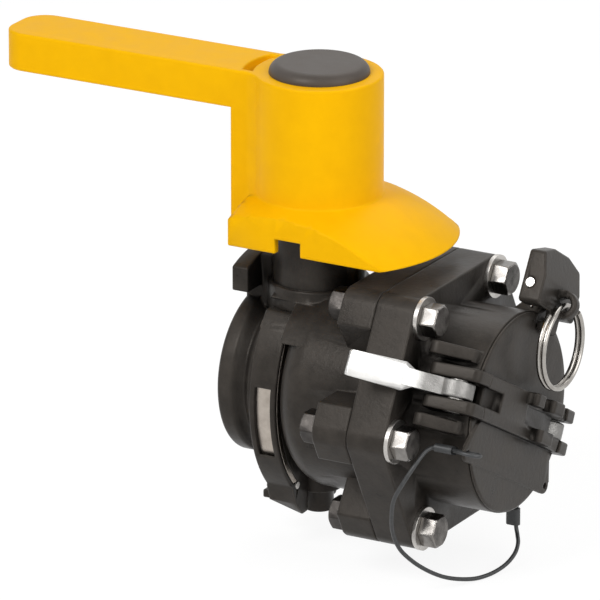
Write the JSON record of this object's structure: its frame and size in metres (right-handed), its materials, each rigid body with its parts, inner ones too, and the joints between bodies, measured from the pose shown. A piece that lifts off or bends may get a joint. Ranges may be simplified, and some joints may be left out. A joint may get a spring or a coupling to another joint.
{
  "type": "dry break coupling",
  "caption": "Dry break coupling: lipped nose with cam yoke, quarter turn ball valve with lever handle, cam arm socket closed by a latched dust plug on a lanyard.",
  "frame": {"origin": "centre of the nose bore at the nose face, where the mating half presses on", "axes": "+X along the flow from the nose to the dust plug, +Z along the valve stem to the handle, -Y to the side with the raised cam arm"},
  "size_m": [0.2847, 0.1552, 0.2348],
  "materials": {
    "black_nylon": "glass filled moulded plastic, satin with a fine mottle",
    "yellow_plastic": "moulded plastic, satin",
    "cap_plastic": "moulded plastic, satin",
    "stainless": "cast and machined stainless steel",
    "bright_steel": "zinc bright fasteners",
    "seat_white": "sealing plastic, smooth",
    "rubber": "moulded rubber",
    "cable": "plastic coated steel cable"
  },
  "bodies": {
    "housing": {"valve_body": "black_nylon", "cam_yoke": "black_nylon", "wear_bands": "stainless", "band_rivets": "bright_steel", "ball_seats": "seat_white", "trunnion_pin": "stainless", "end_housing": "black_nylon", "housing_o_ring": "rubber", "flange_bolts": "bright_steel", "bolt_washers": "bright_steel", "flange_nuts": "bright_steel", "arm_pins": "stainless", "dust_plug": "black_nylon", "plug_gasket": "rubber", "latch_spring": "bright_steel", "lanyard": "cable", "lanyard_ferrules": "cable"},
    "rotor": {"ball": "stainless", "stem": "stainless", "stem_o_rings": "rubber", "handle": "yellow_plastic", "handle_screw": "bright_steel", "handle_plug": "cap_plastic"},
    "arm_near": {"cam_arm_near": "stainless"},
    "arm_far": {"cam_arm_far": "stainless"},
    "latch": {"latch_lever": "black_nylon", "latch_pin": "bright_steel"},
    "ring": {"pull_ring": "stainless"}
  },
  "joints": [
    {"name": "handle_turn", "type": "hinge", "parent": "housing", "child": "rotor", "pos_m": [0.033, 0, 0], "axis": [0, 0, 1], "range_deg": [0, 90]},
    {"name": "arm_near_swing", "type": "hinge", "parent": "housing", "child": "arm_near", "pos_m": [0.13, -0.04415, 0.02347], "axis": [0, 0.4695, 0.8829], "range_deg": [0, 100]},
    {"name": "arm_far_swing", "type": "hinge", "parent": "housing", "child": "arm_far", "pos_m": [0.13, 0.04415, -0.02347], "axis": [0, -0.4695, -0.8829], "range_deg": [0, 100]},
    {"name": "latch_tilt", "type": "hinge", "parent": "housing", "child": "latch", "pos_m": [0.1375, 0.02987, 0.04972], "axis": [0, -0.8572, 0.515], "range_deg": [0, 25], "stiffness_Nm_per_rad": 0.3, "springref_deg": -17.19},
    {"name": "ring_swing", "type": "hinge", "parent": "latch", "child": "ring", "pos_m": [0.148, 0.0275, 0.04577], "axis": [0, -0.9781, 0.2079], "range_deg": [0, 110]}
  ]
}
